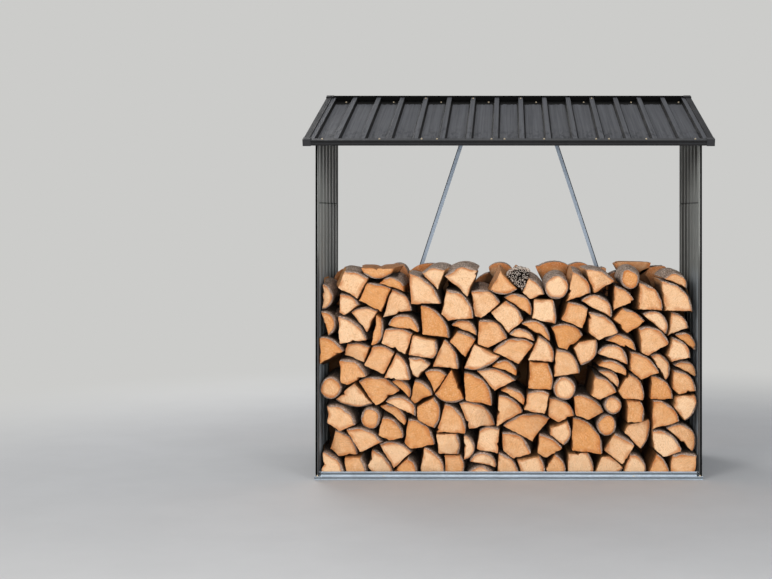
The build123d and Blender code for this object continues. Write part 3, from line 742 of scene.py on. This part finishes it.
def log_mesh(ring, low, high, rng, front, knotted):
    """Vertices, faces, materials and attributes of one detailed log. Its outer end keeps to the plain
    prism; further in it swells and leans a little, as grown wood does, so the gaps close behind."""
    if area(ring) < 0:
        ring = ring[::-1]
    ring, is_bark, pith, bark_radius = resampled(ring)
    for _ in range(rng.choice((0, 1, 1, 2))):
        ring = 0.5 * ring + 0.25 * (np.roll(ring, 1, 0) + np.roll(ring, -1, 0))
    n = len(ring)
    s = np.concatenate([[0], np.cumsum(np.linalg.norm(np.diff(ring, axis=0), axis=1))])
    split_waves, bark_waves = waves(rng, 6, 12, 60), waves(rng, 7, 30, 95)
    broad = waves(rng, 3, 4, 14)
    length = high - low
    start, way = (low, 1) if front else (high, -1)
    bark_at = np.maximum(is_bark, np.roll(is_bark, 1)).astype(float)
    notch, jag, taper = worn(ring, s, bark_at, rng)
    cut = saw_cut(ring, rng)
    swell = rng.uniform(0.008, 0.011)
    lobes = waves(rng, 2, 2, 5)
    lean = scatter(rng, 0.008)

    # Rings of the sides, from the sawn end inwards.
    rows, y_rows = [], []
    for share in STATIONS:
        y = share * length
        near_end = math.exp(-share * 7)
        soft = 0.0024 + 0.0016 * pattern(broad, s, y, 2.0) + 0.0007 * pattern(split_waves, s, y, 2.2)
        rough = 0.0013 + 0.0007 * pattern(bark_waves, s, y, 14) + 0.0005 * pattern(broad, s, y, 2.0)
        depth = np.clip(np.where(is_bark, rough, soft * (0.15 + 0.85 * near_end)), 0.0002, MOST_WEAR)
        depth = depth + notch + taper * near_end + jag * math.exp(-share * 12)
        grown = min(1.0, max(0.0, (share - 0.20) / 0.30))
        if knotted:
            depth, grown = depth + KNOT_DEPTH, 0.0
        row = inset(ring, depth - grown * (swell + 0.003 * pattern(lobes, s, y, 0.3))) + grown * lean
        if share > 0.2:
            row[:, 0] = np.clip(row[:, 0], -SIDE_REACH, SIDE_REACH)
            row[:, 1] = np.maximum(row[:, 1], 0.001)
        rows.append(row)
        y_rows.append(start + way * (y + cut(ring) * (1 - share)))

    # The bark's cut edge, broken back and frayed, and the edge of the sawn face within it.
    fray = np.array([rng.uniform(0.0, 0.0018) for _ in range(n)])
    y_rows[0] = y_rows[0] + way * (0.0006 + bark_at * BARK_SLANT + fray * (0.5 + bark_at * 0.8))
    edge_depth = np.where(is_bark, BARK_DEPTH * (1 + 0.3 * pattern(broad, s, 0, 1)), 0.0012)
    inner = inset(rows[0], edge_depth)
    face = inset(inner, np.full(n, 0.0012))
    rings = [face, inner] + rows
    rim = [np.full(n, 0.0)] * len(rings)
    depths = [start + way * cut(face), start + way * (cut(inner) + 0.0005 + bark_at * 0.0006)] + y_rows
    if knotted:
        depths[:3] = [start + way * (np.full(n, d) + 0.5 * fray) for d in (0.012, 0.018, 0.030)]
    verts = np.concatenate([np.stack([r[:, 0], y, r[:, 1]], 1) for r, y in zip(rings, depths)])
    faces, materials = [], []
    wind = (lambda f: f) if front else (lambda f: f[::-1])
    for k in range(len(rings) - 1):
        for i in range(n):
            j = (i + 1) % n
            faces.append(wind([k * n + i, k * n + j, (k + 1) * n + j, (k + 1) * n + i]))
            side = BARK if is_bark[i] else SPLIT
            sawn = k == 0 or (k == 1 and not is_bark[i])
            materials.append(BURL if knotted and k < 6 else END if sawn else side)

    # Rings of the face towards its middle. The knotted end is a low dome for the curls to stand on.
    before = 0
    heart = face.mean(0)
    for size in (0.84, 0.62, 0.38, 0.14) if knotted else (0.86, 0.62, 0.30):
        shrunk = heart + (face - heart) * size
        back = np.full(n, 0.008 + 0.004 * size) if knotted else cut(shrunk)
        verts = np.concatenate([verts, np.stack([shrunk[:, 0], start + way * back, shrunk[:, 1]], 1)])
        rim.append(np.full(n, 1 - size))
        at = len(verts) - n
        for i in range(n):
            j = (i + 1) % n
            faces.append(wind([at + i, at + j, before + j, before + i]))
            materials.append(BURL if knotted else END)
        before = at
    faces.append(wind([before + i for i in range(n)]))
    materials.append(BURL if knotted else END)
    last = (len(rings) - 1) * n
    faces.append(wind([last + i for i in reversed(range(n))]))
    materials.append(END)
    rim = np.concatenate(rim)
    if knotted:
        # The knotted log's body gets a low rim, which the burl material paints nearly black: painted shade.
        rim = np.full(len(verts), 0.12)
        extra, extra_faces, extra_rim = curls(ring, is_bark, start, way, rng)
        faces += [[i + len(verts) for i in face] for face in extra_faces]
        materials += [BURL] * len(extra_faces)
        verts, rim = np.concatenate([verts, extra]), np.concatenate([rim, extra_rim])
    tone, seed = rng.random(), rng.random()
    grain = np.stack([verts[:, 0] - pith[0], verts[:, 2] - pith[1], verts[:, 1]], 1)
    log = np.tile((tone, seed, bark_radius - BARK_DEPTH), (len(verts), 1))
    return verts, faces, materials, grain, log, rim


def sky_slot(x):
    return ((x + 1) / SKY_STEP).astype(int)


def sky_of(prisms, front):
    """Height of the top of one row of logs, in slots across."""
    sky = np.zeros(SKY_SLOTS)
    for ring, low, high in prisms:
        if (low < 0) == front:
            closed = np.vstack([ring, ring[:1]])
            for a, b in zip(closed[:-1], closed[1:]):
                count = int(np.linalg.norm(b - a) / 0.002) + 2
                x, z = np.linspace(a[0], b[0], count), np.linspace(a[1], b[1], count)
                np.maximum.at(sky, sky_slot(x), z)
    return sky


def shade_of(verts, front, start):
    """Darkens what lies deep between the logs; the top of the stack stays clear."""
    sky = skies[front][np.clip(sky_slot(verts[:, 0]), 0, SKY_SLOTS - 1)]
    covered = np.clip((sky - verts[:, 2] - 0.006) / 0.02, 0, 1)
    depth = np.clip((np.abs(verts[:, 1] - start) - 0.012) / 0.070, 0, 1)
    return 1 - 0.85 * covered * depth


def layer_mesh(obj, seed, knotted_at):
    """One piece with all logs of a layer, in place of its plain node."""
    rng = random.Random(seed)
    verts, faces, materials, grain, logs, rims, shades = [], [], [], [], [], [], []
    count = 0
    for ring, low, high in outlines(obj):
        front = low < 0
        knotted = front and np.linalg.norm(ring.mean(0) - knotted_at) < 0.02
        v, f, m, g, a, edge = log_mesh(ring, low, high, rng, front, knotted)
        verts.append(v)
        faces += [[i + count for i in face] for face in f]
        materials += m
        grain.append(g)
        logs.append(a)
        rims.append(edge)
        shades.append(shade_of(v, front, low if front else high))
        count += len(v)
    mesh = bpy.data.meshes.new(obj.name + "_logs")
    mesh.from_pydata(np.concatenate(verts).tolist(), [], faces)
    for material in log_materials:
        mesh.materials.append(material)
    mesh.polygons.foreach_set("material_index", materials)
    for name, kind, key, values in (
        ("grain", "FLOAT_VECTOR", "vector", grain),
        ("log", "FLOAT_VECTOR", "vector", logs),
        ("rim", "FLOAT", "value", rims),
        ("shade", "FLOAT", "value", shades),
    ):
        layer = mesh.attributes.new(name, kind, "POINT")
        layer.data.foreach_set(key, np.concatenate(values).astype(np.float32).ravel())
    mesh.polygons.foreach_set("use_smooth", np.isin(materials, (BARK, BURL)))
    mesh.update()
    piece = bpy.data.objects.new(obj.name + "_logs", mesh)
    scene.collection.objects.link(piece)
    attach(piece, "root")
    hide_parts(obj.name)


layer_names = sorted(n for n in nodes if n.startswith("log_layer"))
prisms = [prism for name in layer_names for prism in outlines(nodes[name])]
skies = {front: sky_of(prisms, front) for front in (True, False)}
tops = [ring.mean(0) for ring, low, high in prisms if low < 0 and ring[:, 1].max() > KNOT_LEVEL]
knot_centre = min(tops, key=lambda c: abs(c[0] - KNOT_X) - 0.3 * c[1])
for number, name in enumerate(layer_names):
    layer_mesh(nodes[name], FIRST_SEED + number, knot_centre)


# Screws

SCREW_SIDES = 12
SCREW_PROFILE = (               # radius as a share of the head's, and height
    (1.6, 0.0),
    (1.6, 0.0008),
    (1.05, 0.0012),
    (1.0, 0.0038),
    (0.7, 0.0046),
)
BEAM_SCREWS = (-0.455, -0.195, 0.065, 0.455)
EAVES_SCREWS = (-0.908, -0.63, -0.424, -0.349, -0.084, -0.021, 0.172, 0.425, 0.488, 0.669, 0.908)
POST_FACE = 0.4112              # y of the posts' outer faces
POST_X = 0.9420                 # x and heights of the screws on them
POST_SCREWS = (0.45, 0.91, 1.37)
POST_FOOT = (0.9365, 0.0195)    # x and z of the bright screw at their feet
RAIL_SCREW = (0.613, 0.3968, 0.0135)
WALL_FACE = 0.9321              # x of the walls' outer faces between the ribs


def screw(bm, place, direction, radius):
    """A round head on its washer."""
    turn = Vector(direction).normalized().to_track_quat("Z", "Y")
    rings = []
    for share, height in SCREW_PROFILE:
        ring = []
        for a in range(SCREW_SIDES):
            angle = a * math.pi / (SCREW_SIDES / 2)
            r = radius * share
            point = Vector((r * math.cos(angle), r * math.sin(angle), height))
            ring.append(bm.verts.new(Vector(place) + turn @ point))
        rings.append(ring)
    for lower, upper in zip(rings, rings[1:]):
        for i in range(SCREW_SIDES):
            j = (i + 1) % SCREW_SIDES
            bm.faces.new((lower[i], lower[j], upper[j], upper[i]))
    bm.faces.new(rings[-1])


def roof_screw(bm, x, y, height, radius):
    """A screw at a height above the roof's pans."""
    pan = EAVES + (y - PAN_START) * math.tan(PITCH)
    place = (x, y - height * math.sin(PITCH), pan + height * math.cos(PITCH))
    screw(bm, place, (0, -math.sin(PITCH), math.cos(PITCH)), radius)


bright, dark = bmesh.new(), bmesh.new()
for k in range(-7, 8, 2):
    roof_screw(bright, k * RIB_PITCH + 0.02, 0.420, height=0.001, radius=0.0035)
for x in BEAM_SCREWS:
    roof_screw(bright, x, 0.44, height=0.0183, radius=0.0034)
for x in EAVES_SCREWS:
    roof_screw(bright, x, -0.445, height=0.0196, radius=0.0036)
for side in (-1, 1):
    for end in (-1, 1):
        for z in POST_SCREWS:
            screw(dark, (side * POST_X, end * POST_FACE, z), (0, end, 0), radius=0.0026)
        screw(bright, (side * POST_FOOT[0], end * POST_FACE, POST_FOOT[1]), (0, end, 0), radius=0.0026)
    for end in (-1, 1):
        screw(bright, (side * RAIL_SCREW[0], end * RAIL_SCREW[1], RAIL_SCREW[2]), (0, end, 0), radius=0.0032)
    for k in range(-3, 4):
        screw(dark, (side * WALL_FACE, k * RIB_PITCH, WALL_LAP - 0.012), (side, 0, 0), radius=0.0032)
for label, bm, material, slot in (
    ("screws", bright, screw_material, "galvanised"),
    ("painted_screws", dark, post_material, "black_paint"),
):
    mesh = bpy.data.meshes.new(label)
    bm.to_mesh(mesh)
    bm.free()
    mesh.materials.append(material)
    piece = bpy.data.objects.new(label, mesh)
    scene.collection.objects.link(piece)
    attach(piece, "root")


# Stage, light and camera

FLOOR_REACH = 30


def floor_material():
    """Pale floor that fades into the backdrop far from the store, for the camera and in reflections."""
    s = Shader("floor")
    s.set("Base Color", s.scaled(linear(204, 204, 204), s.vary(s.noise(s.place, 2.2, 5, 0.6), 0.98, 1.02)))
    s.set("Roughness", 0.9)
    s.set("Specular IOR Level", 0.1)
    path = s.node("ShaderNodeLightPath")
    seen = s.calc("MAXIMUM", path.outputs["Is Camera Ray"], path.outputs["Is Glossy Ray"])
    distance = s.node("ShaderNodeVectorMath", operation="LENGTH")
    s.feed(distance.inputs[0], s.place)
    pale = s.node("ShaderNodeEmission")
    s.feed(pale.inputs["Color"], BACKDROP)
    blend = s.node("ShaderNodeMixShader")
    s.feed(blend.inputs["Fac"], s.times(seen, s.spread(distance.outputs["Value"], 1.8, 5.0)))
    s.feed(blend.inputs[1], s.surface.outputs[0])
    s.feed(blend.inputs[2], pale.outputs[0])
    s.feed(s.tree.nodes["Material Output"].inputs["Surface"], blend.outputs[0])
    return s.material


floor_mesh = bpy.data.meshes.new("floor")
corners = [(-1, -1), (1, -1), (1, 1), (-1, 1)]
floor_mesh.from_pydata([(x * FLOOR_REACH, y * FLOOR_REACH, 0) for x, y in corners], [], [(0, 1, 2, 3)])
floor_mesh.materials.append(floor_material())
floor = bpy.data.objects.new("floor", floor_mesh)
scene.collection.objects.link(floor)

# The world lights softly; the camera and reflections see the pale backdrop.
world = bpy.data.worlds.new("studio")
scene.world = world
world.use_nodes = True
tree = world.node_tree
soft = tree.nodes["Background"]
soft.inputs["Color"].default_value = (0.82, 0.85, 0.90, 1)
soft.inputs["Strength"].default_value = 0.45
seen = tree.nodes.new("ShaderNodeBackground")
seen.inputs["Color"].default_value = BACKDROP
path = tree.nodes.new("ShaderNodeLightPath")
either = tree.nodes.new("ShaderNodeMath")
either.operation = "MAXIMUM"
pick = tree.nodes.new("ShaderNodeMixShader")
for output, socket in (
    (path.outputs["Is Camera Ray"], either.inputs[0]),
    (path.outputs["Is Glossy Ray"], either.inputs[1]),
    (either.outputs[0], pick.inputs["Fac"]),
    (soft.outputs[0], pick.inputs[1]),
    (seen.outputs[0], pick.inputs[2]),
    (pick.outputs[0], tree.nodes["World Output"].inputs["Surface"]),
):
    tree.links.new(output, socket)


def area_light(name, place, target, size, watts, colour=(1, 1, 1)):
    lamp = bpy.data.lights.new(name, "AREA")
    lamp.shape = "RECTANGLE"
    lamp.size, lamp.size_y = size
    lamp.energy = watts
    lamp.color = colour
    obj = bpy.data.objects.new(name, lamp)
    obj.location = place
    obj.rotation_euler = (Vector(target) - Vector(place)).to_track_quat("-Z", "Y").to_euler()
    scene.collection.objects.link(obj)


area_light("key", (-3.2, -6.3, 3.6), (0, 0, 0.9), (2.5, 2.5), 160, (1, 0.98, 0.95))
area_light("fill", (3.4, -6.3, 3.2), (0, 0, 0.9), (2.5, 2.5), 120, (0.96, 0.98, 1))
area_light("front", (0, -7.2, 1.0), (0, 0, 0.9), (3.5, 1.4), 152)
area_light("behind", (-3.0, 5.0, 3.0), (0, 0, 1.0), (3.0, 3.0), 150)

camera = bpy.data.cameras.new("camera")
camera.sensor_width = 36
camera.lens = 66.4
camera.shift_x = -0.159
camera.shift_y = -0.0990
camera_object = bpy.data.objects.new("camera", camera)
camera_object.location = (0, -7.38, 1.306)
camera_object.rotation_euler = (math.pi / 2, 0, 0)
scene.collection.objects.link(camera_object)
scene.camera = camera_object
scene.view_settings.view_transform = "Standard"
